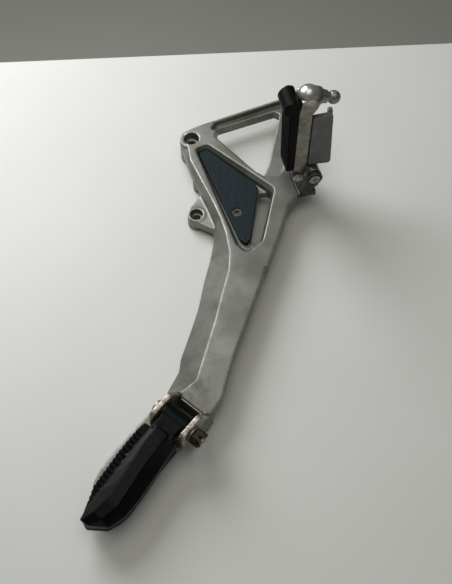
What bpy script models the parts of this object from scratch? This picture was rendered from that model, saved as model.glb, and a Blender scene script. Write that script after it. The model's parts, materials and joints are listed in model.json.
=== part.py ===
"""Right-hand motorcycle footrest bracket, lying on its inner side.

A die-cast alloy bracket carries the rider's folding peg at its far end, deployed
along +Z (outboard), and the passenger's folding peg at its near end, stowed flat
along the arm. Sizes below are in millimetres and every helper turns them into metres.
"""
import math

import bmesh
import bpy
from mathutils import Euler, Matrix, Vector

MM = 0.001
GAP = 0.3  # clearance between two pieces that touch
RUNNING_GAP = 0.3  # clearance of a turning piece

# Casting levels above the back plane
DECK_TOP = 28.0
DECK_THICKNESS = 6.0
LIP_BOTTOM = 17.0
PANEL_BOTTOM = 12.0
WEB_TOP = 22.0
POCKET_FLOOR = 19.5
SLOPE_FOOT = 0.0
RAISED_FOOT = 11.0  # the outer wall stops short of the back plane beside the frame bolts
FRAME_PAD_AT = (3.3, 0.0)
FRAME_PAD_RADIUS = 4.6
CAST_WALL = 5.0

# Frame bolts: the origin is halfway between them, on the back plane
BOLT_OFFSET = (-3.0, 41.0)
UPPER_BOSS_RADIUS = 11.5
UPPER_BORE = 9.0
UPPER_COUNTERBORE = 14.4
UPPER_SEAT_DEPTH = 8.0
LUG_RADIUS = 8.5
LUG_TOP = 15.0
LUG_BORE = 6.6
LUG_COUNTERBORE = 11.6
LUG_SEAT_DEPTH = 6.0

# Heel pad
PAD_THICKNESS = 4.5
PAD_SCREW_AT = (41.0, -45.5)
PAD_SCREW = 5.0
PAD_SCREW_HEAD = 9.0
PAD_RING = 4.2
PAD_PITCH = 8.0

# Rider peg, in its own frame: X down the bike, Y forward along the pin, Z outboard
RIDER_PIN = (108.0, -7.0, 45.0)
RIDER_HEADING = 14.0
RIDER_PIN_DIAMETER = 8.0
RIDER_CLEVIS_GAP = 24.0
RIDER_EAR = 5.0
RIDER_EAR_RADIUS = 7.8
RIDER_BASE_THICKNESS = 6.0
RIDER_BASE_TOP = -18.0
RIDER_BASE_NEAR = -14.2
RIDER_BASE_FAR = 3.0
RIDER_BOLT = 8.0
RIDER_EYE_END = 4.0
RIDER_BAR_WIDTH = 18.0
RIDER_BAR_BACK = -18.5
RIDER_BAR_FRONT = -6.5
RIDER_PEG_LENGTH = 95.0
RIDER_RUBBER_WIDTH = 22.0
RIDER_RUBBER_THICKNESS = 7.0
RIDER_BULGE_RADIUS = 8.5
RIDER_RUBBER_START = 10.0
WEIGHT_THICKNESS = 16.0
WEIGHT_START = 8.5
WEIGHT_LENGTH = 64.0
WEIGHT_ROOT_DEPTH = 22.0
WEIGHT_TIP_DEPTH = 18.0
SPRING_RADIUS = 6.0
SPRING_WIRE = 1.5
FEELER_TILT = 20.0
FEELER_BOSS = 10.8
FEELER_COLLAR = 6.0
FEELER_LENGTH = 24.3  # from the dome to the middle of the ball end
FEELER_BALL = 6.0
DOME_RADIUS = 9.3
DOME_X = RIDER_BAR_BACK + DOME_RADIUS + GAP

# Passenger peg, in its own frame: X along the pin, -Y from pin to tip, Z outboard
PILLION_PIN = (-9.2, -255.9, 34.0)
PILLION_HEADING = -39.0
PILLION_PIN_DIAMETER = 8.0
PILLION_CLEVIS_GAP = 25.0
PILLION_EAR = 5.0
PILLION_EAR_TOP = 10.0
PILLION_EAR_REACH = 12.0
PILLION_KNUCKLE_RADIUS = 9.0
PILLION_WALL_AT = 20.0
PILLION_PLATE_TOP = -26.0
PILLION_PEG_LENGTH = 104.0
PILLION_BODY_START = 15.0
PILLION_RUBBER_TOP = -7.0
PILLION_RUBBER_BOTTOM = -21.0


def clear_scene():
    for item in list(bpy.data.objects):
        bpy.data.objects.remove(item, do_unlink=True)


clear_scene()
parts = bpy.data.collections.new("footrest_bracket")
cutters = bpy.data.collections.new("cutters")
bpy.context.scene.collection.children.link(parts)
bpy.context.scene.collection.children.link(cutters)


def material(name, colour, roughness, metallic):
    made = bpy.data.materials.new(name)
    made.use_nodes = True
    shader = made.node_tree.nodes["Principled BSDF"]
    shader.inputs["Base Color"].default_value = (*colour, 1.0)
    shader.inputs["Roughness"].default_value = roughness
    shader.inputs["Metallic"].default_value = metallic
    made.diffuse_color = (*colour, 1.0)
    return made


CAST_ALLOY = material("cast_alloy", (0.50, 0.50, 0.49), 0.42, 1.0)
BARE_ALLOY = material("bare_alloy", (0.66, 0.63, 0.56), 0.38, 1.0)
DARK_STEEL = material("dark_steel", (0.16, 0.16, 0.15), 0.50, 1.0)
ZINC_STEEL = material("zinc_steel", (0.55, 0.54, 0.50), 0.35, 1.0)
RUSTY_STEEL = material("rusty_steel", (0.25, 0.15, 0.09), 0.80, 0.4)
BLACK_PAINT = material("black_paint", (0.015, 0.017, 0.02), 0.40, 0.0)
GREY_PAINT = material("grey_paint", (0.30, 0.30, 0.29), 0.60, 0.0)
BLACK_RUBBER = material("black_rubber", (0.012, 0.012, 0.013), 0.65, 0.0)
SLATE_RUBBER = material("slate_rubber", (0.055, 0.075, 0.085), 0.60, 0.0)


def empty(name, location, heading):
    made = bpy.data.objects.new(name, None)
    made.location = [value * MM for value in location]
    made.rotation_euler = (0.0, 0.0, math.radians(heading))
    parts.objects.link(made)
    return made


def add_object(name, mesh, owner=None, finish=None, guide=False):
    """Links a mesh as a visible part, or as a hidden cutter."""
    made = bpy.data.objects.new(name, mesh)
    (cutters if guide else parts).objects.link(made)
    made.parent = owner
    if guide:
        made.hide_render = True
        made.display_type = "WIRE"
    if finish:
        mesh.materials.append(finish)
    return made


def mesh_of(name, builder):
    mesh = bpy.data.meshes.new(name)
    work = bmesh.new()
    builder(work)
    bmesh.ops.recalc_face_normals(work, faces=work.faces)
    work.to_mesh(mesh)
    work.free()
    return mesh


def box_mesh(name, low, high):
    size = [high[i] - low[i] for i in range(3)]
    middle = [(high[i] + low[i]) / 2 for i in range(3)]

    def build(work):
        bmesh.ops.create_cube(work, size=1.0)
        bmesh.ops.scale(work, vec=[value * MM for value in size], verts=work.verts)
        bmesh.ops.translate(work, vec=[value * MM for value in middle], verts=work.verts)

    return mesh_of(name, build)


TURNS = {"X": Euler((0, math.pi / 2, 0)), "Y": Euler((-math.pi / 2, 0, 0)), "Z": Euler((0, 0, 0))}


def rod_mesh(name, axis, start, length, radius, at=(0, 0), tip_radius=None, sides=32, tilt=0.0):
    """A cylinder or cone along an axis. `at` gives its other two coordinates in X, Y, Z order."""
    places = {"X": (start, at[0], at[1]), "Y": (at[0], start, at[1]), "Z": (at[0], at[1], start)}
    place = Vector(places[axis]) * MM

    def build(work):
        bmesh.ops.create_cone(work, cap_ends=True, segments=sides, radius1=radius * MM,
                              radius2=(radius if tip_radius is None else tip_radius) * MM,
                              depth=length * MM)
        bmesh.ops.translate(work, vec=(0, 0, length * MM / 2), verts=work.verts)
        turn = TURNS[axis].to_matrix()
        bmesh.ops.rotate(work, cent=(0, 0, 0), matrix=turn, verts=work.verts)
        if tilt:
            bmesh.ops.rotate(work, cent=(0, 0, 0), verts=work.verts,
                             matrix=Matrix.Rotation(math.radians(tilt), 3, "Y"))
        bmesh.ops.translate(work, vec=place, verts=work.verts)

    return mesh_of(name, build)


def prism_mesh(name, outline, low, high, across="Z"):
    """An outline pushed along an axis. Outline points are (X, Y), (Y, Z) or (X, Z)."""
    orders = {"Z": lambda p, h: (p[0], p[1], h), "X": lambda p, h: (h, p[0], p[1]),
              "Y": lambda p, h: (p[0], h, p[1])}
    place = orders[across]

    def build(work):
        ring = [work.verts.new(Vector(place(p, low)) * MM) for p in outline]
        face = work.faces.new(ring)
        pushed = bmesh.ops.extrude_face_region(work, geom=[face])
        moved = [item for item in pushed["geom"] if isinstance(item, bmesh.types.BMVert)]
        step = Vector(place((0, 0), high - low)) * MM
        bmesh.ops.translate(work, vec=step, verts=moved)

    return mesh_of(name, build)


def loft_mesh(name, sections):
    """A closed skin through equal-sized rings of 3-D points."""

    def build(work):
        rings = [[work.verts.new(Vector(p) * MM) for p in ring] for ring in sections]
        count = len(rings[0])
        for first, second in zip(rings, rings[1:]):
            for i in range(count):
                j = (i + 1) % count
                work.faces.new((first[i], first[j], second[j], second[i]))
        work.faces.new(rings[0])
        work.faces.new(rings[-1][::-1])
        work.normal_update()
        bmesh.ops.recalc_face_normals(work, faces=work.faces)
        bmesh.ops.triangulate(work, faces=work.faces)

    return mesh_of(name, build)


def ball_mesh(name, centre, radius, squash=(1, 1, 1), sides=24):
    def build(work):
        bmesh.ops.create_uvsphere(work, u_segments=sides, v_segments=sides // 2, radius=radius * MM)
        bmesh.ops.scale(work, vec=squash, verts=work.verts)
        bmesh.ops.translate(work, vec=Vector(centre) * MM, verts=work.verts)

    return mesh_of(name, build)


def coil_mesh(name, radius, wire, turns, start, pitch, sides=8, steps=14, legs=(12.0, 12.0)):
    """A torsion spring on the Y axis: a wire swept along a helix, with a straight leg at each end."""
    path = []
    total = int(turns * steps)
    for i in range(total + 1):
        turn = 2 * math.pi * i / steps
        path.append(Vector((radius * math.cos(turn), start + pitch * i / steps, radius * math.sin(turn))))
    first = (path[0] - path[1]).normalized()
    last = (path[-1] - path[-2]).normalized()
    path = [path[0] + first * legs[0]] + path + [path[-1] + last * legs[1]]

    def build(work):
        rings = []
        for i, point in enumerate(path):
            ahead = path[min(i + 1, len(path) - 1)] - path[max(i - 1, 0)]
            ahead.normalize()
            side = ahead.cross(Vector((0, 1, 0))).normalized()
            up = side.cross(ahead)
            ring = []
            for k in range(sides):
                angle = 2 * math.pi * k / sides
                offset = side * math.cos(angle) + up * math.sin(angle)
                ring.append(work.verts.new((point + offset * wire / 2) * MM))
            rings.append(ring)
        for one, two in zip(rings, rings[1:]):
            for k in range(sides):
                j = (k + 1) % sides
                work.faces.new((one[k], one[j], two[j], two[k]))
        work.faces.new(rings[0])
        work.faces.new(rings[-1][::-1])

    return mesh_of(name, build)


def combine(body, operation, meshes):
    """Adds one Boolean modifier per tool mesh, each tool a hidden object with the same parent."""
    for number, mesh in enumerate(meshes):
        name = f"{body.name}_{operation.lower()}_{number}_{mesh.name}"
        tool = add_object(name, mesh, body.parent, guide=True)
        change = body.modifiers.new(f"{operation.lower()}_{number}", "BOOLEAN")
        change.object = tool
        change.operation = operation
        change.solver = "EXACT"


def join(body, *meshes):
    combine(body, "UNION", meshes)


def cut(body, *meshes):
    combine(body, "DIFFERENCE", meshes)


def arc(centre, radius, start, end, steps=8):
    """Points on a circle from one angle to another, in degrees."""
    return [
        (
            centre[0] + radius * math.cos(math.radians(start + (end - start) * i / steps)),
            centre[1] + radius * math.sin(math.radians(start + (end - start) * i / steps)),
        )
        for i in range(steps + 1)
    ]


def rounded(outline, radii, steps=5):
    """The outline with each corner replaced by a tangent arc, no longer than its edges allow."""
    result = []
    count = len(outline)
    for i, corner in enumerate(outline):
        radius = radii[i] if isinstance(radii, (list, tuple)) else radii
        here = Vector(corner)
        before = Vector(outline[i - 1]) - here
        after = Vector(outline[(i + 1) % count]) - here
        room = 0.48 * min(before.length, after.length)
        before.normalize()
        after.normalize()
        half = math.acos(max(-1.0, min(1.0, before.dot(after)))) / 2
        if radius <= 0 or abs(math.pi / 2 - half) < 0.02:
            result.append(tuple(here))
            continue
        reach = min(radius / math.tan(half), room)
        radius = reach * math.tan(half)
        first, last = here + before * reach, here + after * reach
        middle = here + (before + after).normalized() * (radius / math.sin(half))
        begin, finish = first - middle, last - middle
        sweep = begin.angle_signed(finish)
        for step in range(steps + 1):
            angle = -sweep * step / steps
            turned = Vector((begin.x * math.cos(angle) - begin.y * math.sin(angle),
                             begin.x * math.sin(angle) + begin.y * math.cos(angle)))
            result.append(tuple(middle + turned))
    return result


def in_frame(origin, heading, point):
    """A point of a turned frame, in world X and Y."""
    angle = math.radians(heading)
    return (
        origin[0] + point[0] * math.cos(angle) - point[1] * math.sin(angle),
        origin[1] + point[0] * math.sin(angle) + point[1] * math.cos(angle),
    )


def rider_xy(x, y):
    return in_frame(RIDER_PIN, RIDER_HEADING, (x, y))


def pillion_xy(x, y):
    return in_frame(PILLION_PIN, PILLION_HEADING, (x, y))


def pillion_outline(points):
    return [pillion_xy(*point) for point in points]


def rider_outline(points):
    return [rider_xy(*point) for point in points]


# ---------------------------------------------------------------- casting
PILLION_OUTER = PILLION_CLEVIS_GAP / 2 + PILLION_EAR
RIDER_OUTER = RIDER_CLEVIS_GAP / 2 + RIDER_EAR


def arm_sections():
    """Rings across the arm: outer edge, foot and top heights, ridge and right edge, from boss to clevis."""
    end = PILLION_WALL_AT
    stations = [
        ((-12, 34), RAISED_FOOT, 24, (-6, 34), (1, 34)),
        ((-4, 8), RAISED_FOOT, 22, (0, 8), (7, 8)),
        ((5, -14), RAISED_FOOT, 19, (9, -14), (16, -12)),
        ((13, -34), RAISED_FOOT / 2, 15, (18, -35), (26, -32)),
        ((19, -53), SLOPE_FOOT, 12, (26, -56), (36, -52)),
        ((19, -72), SLOPE_FOOT, 10, (31, -73), (44, -72)),
        ((16, -90), SLOPE_FOOT, 10, (34, -92), (62, -92)),
        ((11, -112), SLOPE_FOOT, 10, (33, -112), (65.5, -110)),
        ((6, -141), SLOPE_FOOT, 10, (26, -141), (55.5, -141)),
        ((0, -163), SLOPE_FOOT, 10, (21, -164), (47.5, -165)),
        ((-8, -190), SLOPE_FOOT, 10, (13.5, -192), (38, -192)),
        (pillion_xy(-34, end + 22), SLOPE_FOOT, 10, pillion_xy(-12, end + 20), pillion_xy(14, end + 21)),
        (pillion_xy(-29.5, end + 1), SLOPE_FOOT, 8.5, pillion_xy(-15, end + 1),
         pillion_xy(PILLION_OUTER - 1, end + 1)),
    ]
    rings = []
    for left, foot, height, ridge, right in stations:
        across = (Vector(right) - Vector(left)).normalized()
        inner_left = Vector(left) + across * CAST_WALL
        ring = [
            (*left, foot),
            (*left, height),
            (*ridge, DECK_TOP),
            (*right, DECK_TOP),
            (*right, LIP_BOTTOM),
            (*(Vector(right) - across * CAST_WALL), LIP_BOTTOM),
            (*(Vector(right) - across * CAST_WALL), DECK_TOP - DECK_THICKNESS),
            (*(Vector(ridge) + across * 1.5), DECK_TOP - DECK_THICKNESS),
            (*inner_left, max(height - CAST_WALL, foot + CAST_WALL / 2)),
            (*inner_left, foot),
        ]
        rings.append(ring)
    return rings


def panel_outline():
    """The flat region between upper boss, rider hub and elbow."""
    corner = rider_xy(RIDER_BASE_NEAR - GAP, -RIDER_OUTER)
    far = rider_xy(RIDER_BASE_NEAR - GAP, RIDER_OUTER)
    points = [(-10, 50), (7, 59), (92, 96), (100, 84), (far[0] + 2, far[1] + 4), far, corner,
              (88, -40), (84, -57), (67, -108), (36, -104), (28, -60), (18, -36), (-4, 14)]
    return rounded(points, [10, 0, 7, 6, 5, 0, 4, 8, 12, 4, 4, 20, 20, 10])


def casting():
    body = add_object("bracket_casting", loft_mesh("arm", arm_sections()), None, CAST_ALLOY)
    upper = BOLT_OFFSET
    lug = (-BOLT_OFFSET[0], -BOLT_OFFSET[1])
    plate = pillion_outline(rounded(
        [(-29.5, PILLION_WALL_AT + 8), (-29.5, -48), (-28, -62), (-24, -74), (-14, -86), (1, -86), (8, -70),
         (PILLION_OUTER - 9, -20), (PILLION_OUTER - 7, 6), (PILLION_OUTER - 2, 14),
         (PILLION_OUTER - 2, PILLION_WALL_AT + 8)],
        [0, 12, 10, 8, 6, 6, 14, 10, 4, 4, 0]))
    plate_top = PILLION_PIN[2] + PILLION_PLATE_TOP
    side = PILLION_OUTER - 1.6
    wall = pillion_outline([(-side, PILLION_WALL_AT), (side, PILLION_WALL_AT),
                            (side, PILLION_WALL_AT + 6), (-side, PILLION_WALL_AT + 6)])
    lug_web = rounded([(-4, -34), (10, -12), (26, -22), (27, -62), (4, -50)], [3, 2, 2, 2, 3])
    ledge_end = RIDER_BASE_NEAR + 12
    ledge = rider_outline([(RIDER_BASE_NEAR - 12, -10), (ledge_end, -10), (ledge_end, 14),
                           (RIDER_BASE_NEAR - 12, 14)])
    base_bottom = RIDER_PIN[2] + RIDER_BASE_TOP - RIDER_BASE_THICKNESS
    join(
        body,
        prism_mesh("panel", panel_outline(), PANEL_BOTTOM, DECK_TOP),
        rod_mesh("upper_boss", "Z", 0, DECK_TOP - 1, UPPER_BOSS_RADIUS, upper),
        rod_mesh("lug_boss", "Z", 0, LUG_TOP, LUG_RADIUS, lug),
        rod_mesh("frame_pad", "Z", 0, PANEL_BOTTOM + 2, FRAME_PAD_RADIUS, FRAME_PAD_AT),
        prism_mesh("lug_web", lug_web, 5, LUG_TOP - 0.5),
        rod_mesh("mid_boss", "Z", PANEL_BOTTOM - 6, 8, 6, PAD_SCREW_AT, sides=20),
        prism_mesh("clevis_ledge", ledge, base_bottom - 9, base_bottom - GAP),
        prism_mesh("end_plate", plate, 0, plate_top),
        prism_mesh("end_wall", wall, 1, DECK_TOP - 0.5),
    )
    clevis = PILLION_EAR_TOP + PILLION_PIN[2]
    reach = PILLION_EAR_REACH
    left_ear = rounded([(PILLION_WALL_AT + 3, 2), (PILLION_WALL_AT + 3, DECK_TOP - 2), (reach, clevis),
                        (-reach, clevis), (-reach - 1, plate_top), (-reach - 1, 2)], [0, 3, 6, 6, 0, 0])
    ear_foot = PILLION_PIN[2] - PILLION_EAR_REACH
    right_ear = rounded([(PILLION_WALL_AT + 3, 4), (PILLION_WALL_AT + 3, DECK_TOP - 2), (reach, clevis),
                         (-reach, clevis), (-reach, ear_foot + 2), (-2, ear_foot), (10, ear_foot - 8)],
                        [0, 3, 6, 6, 5, 4, 8])
    half = PILLION_CLEVIS_GAP / 2
    for side, ear, low in (("left", left_ear, -half - PILLION_EAR), ("right", right_ear, half)):
        mesh = prism_mesh(f"{side}_ear", ear, low, low + PILLION_EAR, "X")
        turn = Matrix.Translation(Vector((PILLION_PIN[0], PILLION_PIN[1], 0)) * MM)
        mesh.transform(turn @ Matrix.Rotation(math.radians(PILLION_HEADING), 4, "Z"))
        join(body, mesh)
    window = rounded([(19.5, 44), (22.5, 58), (79.5, 81), (84.5, 77.5), (72, 14), (66, -2.5), (60, -1.5)],
                     [4, 4, 3, 3, 6, 4, 4])
    top_web = rounded([(15, 53), (20, 62), (88, 91.5), (92, 82), (83, 75), (25, 50)], [3, 3, 4, 3, 2, 2])
    right_web = rounded([(83, 82), (96, 82), (88, 12), (84, 0), (78, -6), (68, -6.5), (62, -2.2)],
                        [3, 5, 4, 4, 5, 4, 3])
    corner_radii = [4, 5, 6, 8, 6, 6]
    pocket_foot = rounded([(2.6, 26.4), (12.5, 31.2), (74.5, -23), (62.5, -78), (49, -89), (41.4, -81)],
                          corner_radii)
    pocket_rim = rounded([(0.6, 28), (12.5, 34.2), (76.3, -20), (64, -79.5), (49, -93.5), (39.6, -83)],
                         corner_radii)
    pocket_levels = [(pocket_foot, POCKET_FLOOR), (pocket_foot, DECK_TOP - 4.4),
                     (pocket_rim, DECK_TOP - 0.6), (pocket_rim, DECK_TOP + 4)]
    pocket = loft_mesh("pocket", [[(*point, level) for point in ring] for ring, level in pocket_levels])
    slot = rounded([(62.3, -19.5), (74.3, -19.5), (62, -75), (58, -79), (53.5, -75)], [5, 5, 3, 1.5, 2])
    through = PANEL_BOTTOM - 8
    cut(
        body,
        prism_mesh("window", window, through, DECK_TOP + 4),
        prism_mesh("top_web", top_web, WEB_TOP, DECK_TOP + 4),
        prism_mesh("right_web", right_web, WEB_TOP, DECK_TOP + 4),
        pocket,
        prism_mesh("slot", slot, through, DECK_TOP + 4),
        rod_mesh("upper_bore", "Z", -2, 40, UPPER_BORE / 2, upper, sides=24),
        rod_mesh("upper_seat", "Z", DECK_TOP - 1 - UPPER_SEAT_DEPTH, 20, UPPER_COUNTERBORE / 2, upper),
        rod_mesh("lug_bore", "Z", -2, 40, LUG_BORE / 2, lug, sides=24),
        rod_mesh("lug_seat", "Z", LUG_TOP - LUG_SEAT_DEPTH, 20, LUG_COUNTERBORE / 2, lug, sides=24),
        rod_mesh("pad_thread", "Z", 0, 40, PAD_SCREW / 2 + GAP, PAD_SCREW_AT, sides=16),
        rod_mesh("clevis_bolt_hole", "Z", -2, base_bottom + 4, RIDER_BOLT / 2 + GAP,
                 rider_xy(RIDER_BASE_NEAR + 5, 2), sides=20),
    )
    pin_hole = rod_mesh("pillion_pin_hole", "X", -30, 60, PILLION_PIN_DIAMETER / 2 + GAP, (0, 0), sides=24)
    place = Matrix.Translation(Vector(PILLION_PIN) * MM)
    pin_hole.transform(place @ Matrix.Rotation(math.radians(PILLION_HEADING), 4, "Z"))
    cut(body, pin_hole)
    return body


def heel_pad():
    outline = rounded([(4, 25.5), (12.5, 29.5), (61.5, -16), (53.5, -74), (48.5, -80), (43, -75.5)],
                      [4, 5, 4, 4, 3, 3])
    floor = POCKET_FLOOR + GAP
    top = floor + PAD_THICKNESS
    body = add_object("heel_pad", prism_mesh("heel_pad", outline, floor, top), None, SLATE_RUBBER)
    rings = []
    for row in range(7):
        y = 15.0 - row * PAD_PITCH
        left = 4 + (25.5 - y) * 39 / 101
        right = 12.5 + (29.5 - y) * 49 / 45.5 if y > -16 else 61.5 + (y + 16) * 8 / 58
        count = int((right - left - 2 * PAD_RING) / PAD_PITCH) + 1
        first = (left + right - (count - 1) * PAD_PITCH) / 2
        for column in range(count):
            x = first + column * PAD_PITCH
            if math.dist((x, y), PAD_SCREW_AT) > PAD_SCREW_HEAD / 2 + PAD_RING:
                rings.append(rod_mesh(f"stud_{row}_{column}", "Z", top - 0.5, 1.0, PAD_RING / 2, (x, y),
                                      sides=10))
    join(body, *rings)
    cut(
        body,
        rod_mesh("screw_hole", "Z", floor - 2, 20, PAD_SCREW / 2 + GAP, PAD_SCREW_AT, sides=16),
        rod_mesh("screw_seat", "Z", floor + 1.5, 20, PAD_SCREW_HEAD / 2 + GAP, PAD_SCREW_AT, sides=24),
    )
    screw = add_object("heel_pad_screw", rod_mesh("heel_pad_screw", "Z", floor + 1.5 + GAP, 2.2,
                       PAD_SCREW_HEAD / 2, PAD_SCREW_AT, sides=24), None, ZINC_STEEL)
    join(screw, rod_mesh("shank", "Z", PANEL_BOTTOM - 5, floor + 2.5 - PANEL_BOTTOM + 5, PAD_SCREW / 2,
                         PAD_SCREW_AT, sides=16))
    cut(screw, rod_mesh("drive", "Z", floor + 2.9, 4, 1.9, PAD_SCREW_AT, sides=6))


# ---------------------------------------------------------------- rider peg
rider_frame = empty("rider_pin_frame", RIDER_PIN, RIDER_HEADING)


def rider_clevis():
    low = RIDER_BASE_TOP - RIDER_BASE_THICKNESS
    half = RIDER_CLEVIS_GAP / 2
    body = add_object("rider_clevis", box_mesh("rider_clevis", (RIDER_BASE_NEAR, -RIDER_OUTER, low),
                      (RIDER_BASE_FAR, RIDER_OUTER, RIDER_BASE_TOP)), rider_frame, DARK_STEEL)
    radius = RIDER_EAR_RADIUS
    outline = [(RIDER_BASE_NEAR + 1.4, low + 1)] + [(-5.5, low + 1)]
    outline += arc((0, 0), radius, -38, 170, 14)
    outline += [(RIDER_BASE_NEAR + 1.4, RIDER_BASE_TOP - 1)]
    join(body, prism_mesh("rear_ear", outline, -half - RIDER_EAR, -half, "Y"),
         prism_mesh("front_ear", outline, half, half + RIDER_EAR, "Y"))
    cut(body,
        rod_mesh("pin_hole", "Y", -30, 60, RIDER_PIN_DIAMETER / 2 + GAP, sides=24),
        rod_mesh("head_seat", "Y", -half - RIDER_EAR - 4, 5, 6.0, sides=28),
        rod_mesh("bolt_hole", "Z", low - 2, RIDER_BASE_THICKNESS + 4, RIDER_BOLT / 2 + GAP,
                 (RIDER_BASE_NEAR + 5, 2), sides=20))
    place = (RIDER_BASE_NEAR + 5, 2)
    bolt = add_object("rider_clevis_bolt", rod_mesh("rider_clevis_bolt", "Z", low - 14.8, 5.5, 6.5, place,
                      sides=6), rider_frame, ZINC_STEEL)
    shank_length = RIDER_BASE_THICKNESS + 10.5
    join(bolt, rod_mesh("shank", "Z", low - 11, shank_length, RIDER_BOLT / 2, place, sides=20))


def rider_pin():
    half = RIDER_CLEVIS_GAP / 2 + RIDER_EAR
    radius = RIDER_PIN_DIAMETER / 2
    pin = add_object("rider_pivot_pin", rod_mesh("rider_pivot_pin", "Y", -half - 0.4, 2 * half + 6, radius,
                     sides=24), rider_frame, ZINC_STEEL)
    join(pin, rod_mesh("head", "Y", -half - 0.7, 1.4, 5.2, sides=28))
    cut(pin, rod_mesh("dimple", "Y", -half - 1.7, 2, 1.3, sides=16),
        rod_mesh("clip_hole", "Z", -8, 16, 1.1, (0, half + 3.2), sides=12))
    disc = rod_mesh("rider_pin_washer", "Y", half + GAP, 1.2, 7.0, sides=28)
    washer = add_object("rider_pin_washer", disc, rider_frame, ZINC_STEEL)
    cut(washer, rod_mesh("bore", "Y", half - 2, 8, radius + GAP, sides=24))
    wire = rod_mesh("rider_pin_clip", "Z", -7, 14, 0.8, (0, half + 3.2), sides=10)
    clip = add_object("rider_pin_clip", wire, rider_frame, RUSTY_STEEL)
    join(clip, ball_mesh("clip_eye", (0, half + 3.2, 7.5), 1.7, sides=12))


def rider_bar():
    half = RIDER_CLEVIS_GAP / 2 - RUNNING_GAP
    wide = RIDER_BAR_WIDTH / 2
    top = RIDER_PEG_LENGTH
    side = [(RIDER_BAR_BACK, 7), (RIDER_BAR_BACK, top - 14), (RIDER_BAR_BACK + 2, top), (-8, top + 2),
            (-0.4, top - 2), (-2.0, top - 10), (RIDER_BAR_FRONT, top - 17), (RIDER_BAR_FRONT, 9),
            (5, 6), (5, 0), (-6, 0)]
    body = add_object("rider_peg_bar", prism_mesh("rider_peg_bar", side, -wide, wide, "Y"),
                      rider_frame, BARE_ALLOY)
    join(body,
         rod_mesh("eye", "Y", -half, half + RIDER_EYE_END, 7.5, sides=28),
         box_mesh("heel", (0.5, -half, RIDER_BASE_TOP + GAP), (6.8, RIDER_EYE_END - 1, 1)),
         ball_mesh("dome", (DOME_X, 0, top - 1), DOME_RADIUS, sides=24),
         rod_mesh("feeler_boss", "X", DOME_X, FEELER_BOSS, DOME_RADIUS - 0.2, (0, top - 1), 7.9, 28,
                  FEELER_TILT))
    feeler = rod_mesh("feeler_thread", "X", DOME_X, 30, 4.3, (0, top - 1), None, 20, FEELER_TILT)
    cut(body, rod_mesh("pin_hole", "Y", -30, 60, RIDER_PIN_DIAMETER / 2 + GAP, sides=24), feeler,
        rod_mesh("spring_room", "Y", RIDER_EYE_END, 10, SPRING_RADIUS + SPRING_WIRE + 1.7, sides=28))
    line_low = (RIDER_BAR_FRONT - 3.8, -wide - 1, 12)
    line_high = (RIDER_BAR_FRONT - 3.0, -wide + 0.8, 82)
    cut(body, box_mesh("flange_line", line_low, line_high))
    for z in (RIDER_RUBBER_START + 14, RIDER_RUBBER_START + 56):
        cut(body, rod_mesh("rubber_screw_hole", "X", RIDER_BAR_BACK - 2, 30, 2.3, (0, z), sides=16))


def rider_rubber():
    low, high = RIDER_RUBBER_START, RIDER_PEG_LENGTH
    wide = RIDER_RUBBER_WIDTH / 2
    near = RIDER_BAR_BACK - GAP
    far = near - RIDER_RUBBER_THICKNESS
    tip = high - 17
    bulge = (near - 5.5, high - 5.5)
    side = [(near, low)] + arc(bulge, RIDER_BULGE_RADIUS, 50, 205, 10) + [(far - 2, tip), (far, low)]
    body = add_object("rider_peg_rubber", prism_mesh("rider_peg_rubber", side, -wide, wide, "Y"),
                      rider_frame, BLACK_RUBBER)
    foot = Matrix.Translation(Vector((far, 0, low)) * MM)
    lean = Matrix.Rotation(-math.atan(2 / (tip - low)), 4, "Y")
    slant = foot @ lean @ foot.inverted()
    grooves = []
    for i in range(5):
        y = -wide + 3.4 + i * (2 * wide - 6.8) / 4
        groove = box_mesh(f"groove_{i}", (far - 3, y - 0.7, low + 4), (far + 1.6, y + 0.7, tip - 2))
        groove.transform(slant)
        grooves.append(groove)
    cut(body, *grooves)
    for number, z in enumerate((low + 14, low + 56), 1):
        cut(body, rod_mesh("stud_recess", "X", near - 2.5, 6, 4.2, (0, z), sides=20))
        shank = rod_mesh("stud", "X", near - 2.0, 12, 2.0, (0, z), sides=16)
        screw = add_object(f"rubber_stud_{number}", shank, rider_frame, ZINC_STEEL)
        join(screw, rod_mesh("head", "X", near - 2.2, 2.0, 3.9, (0, z), sides=20))


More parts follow.
